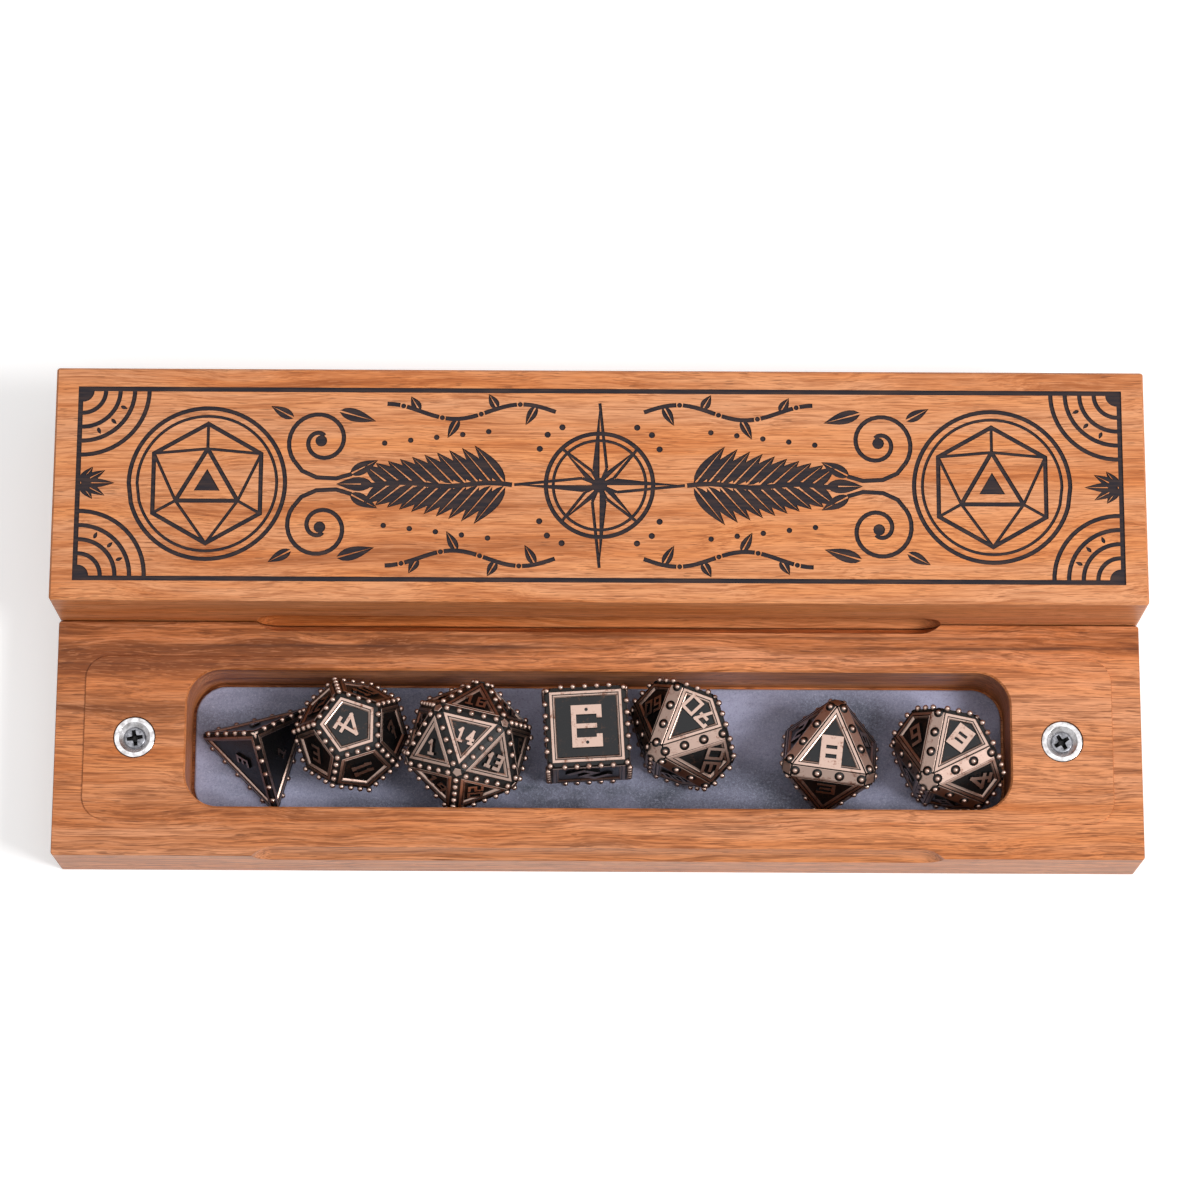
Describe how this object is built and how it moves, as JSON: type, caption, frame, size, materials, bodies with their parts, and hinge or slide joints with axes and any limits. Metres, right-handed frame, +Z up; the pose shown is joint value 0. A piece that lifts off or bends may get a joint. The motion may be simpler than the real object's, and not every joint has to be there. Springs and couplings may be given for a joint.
{
  "type": "dice storage box",
  "caption": "Long narrow wooden dice box with a lift-off magnetic lid, shown shut behind an open tray of the same pattern that holds a polyhedral dice set on a soft lining.",
  "frame": {"origin": "on the table, midway between the shut box and the open tray, below the middle of their length", "axes": "+X along the length, to the right for someone facing the tray; -Y towards that person; +Z up"},
  "size_m": [0.21, 0.0926, 0.0325],
  "materials": {
    "walnut_wood": "open-grained orange-brown hardwood, oiled",
    "lining_felt": "grey-lilac felt",
    "magnet_nickel": "bright nickel plate",
    "screw_steel": "zinc-plated steel",
    "dice_metal": "antique copper plate, near-black recesses, rubbed bright edges"
  },
  "bodies": {
    "tray": {"tray_body": "walnut_wood", "tray_lining": "lining_felt", "tray_magnet_left": "magnet_nickel", "tray_magnet_right": "magnet_nickel", "tray_screw_left": "screw_steel", "tray_screw_right": "screw_steel"},
    "box": {"base_body": "walnut_wood", "base_lining": "lining_felt", "base_magnet_left": "magnet_nickel", "base_magnet_right": "magnet_nickel", "base_screw_left": "screw_steel", "base_screw_right": "screw_steel"},
    "lid": {"lid_body": "walnut_wood", "lid_lining": "lining_felt", "lid_magnet_left": "magnet_nickel", "lid_magnet_right": "magnet_nickel", "lid_screw_left": "screw_steel", "lid_screw_right": "screw_steel"},
    "d4": {"die_d4": "dice_metal"},
    "d12": {"die_d12": "dice_metal"},
    "d20": {"die_d20": "dice_metal"},
    "d6": {"die_d6": "dice_metal"},
    "d10_tens": {"die_d10_tens": "dice_metal"},
    "d8": {"die_d8": "dice_metal"},
    "d10_units": {"die_d10_units": "dice_metal"}
  },
  "joints": [
    {"name": "box_apart", "type": "slide", "parent": "tray", "child": "box", "axis": [0, 1, 0], "range_m": [0, 0.06]},
    {"name": "lid_lift", "type": "slide", "parent": "box", "child": "lid", "axis": [0, 0, 1], "range_m": [0, 0.04]},
    {"name": "d4_lift", "type": "slide", "parent": "tray", "child": "d4", "axis": [0, 0, 1], "range_m": [0, 0.03]},
    {"name": "d12_lift", "type": "slide", "parent": "tray", "child": "d12", "axis": [0, 0, 1], "range_m": [0, 0.03]},
    {"name": "d20_lift", "type": "slide", "parent": "tray", "child": "d20", "axis": [0, 0, 1], "range_m": [0, 0.03]},
    {"name": "d6_lift", "type": "slide", "parent": "tray", "child": "d6", "axis": [0, 0, 1], "range_m": [0, 0.03]},
    {"name": "d10_tens_lift", "type": "slide", "parent": "tray", "child": "d10_tens", "axis": [0, 0, 1], "range_m": [0, 0.03]},
    {"name": "d8_lift", "type": "slide", "parent": "tray", "child": "d8", "axis": [0, 0, 1], "range_m": [0, 0.03]},
    {"name": "d10_units_lift", "type": "slide", "parent": "tray", "child": "d10_units", "axis": [0, 0, 1], "range_m": [0, 0.03]}
  ]
}
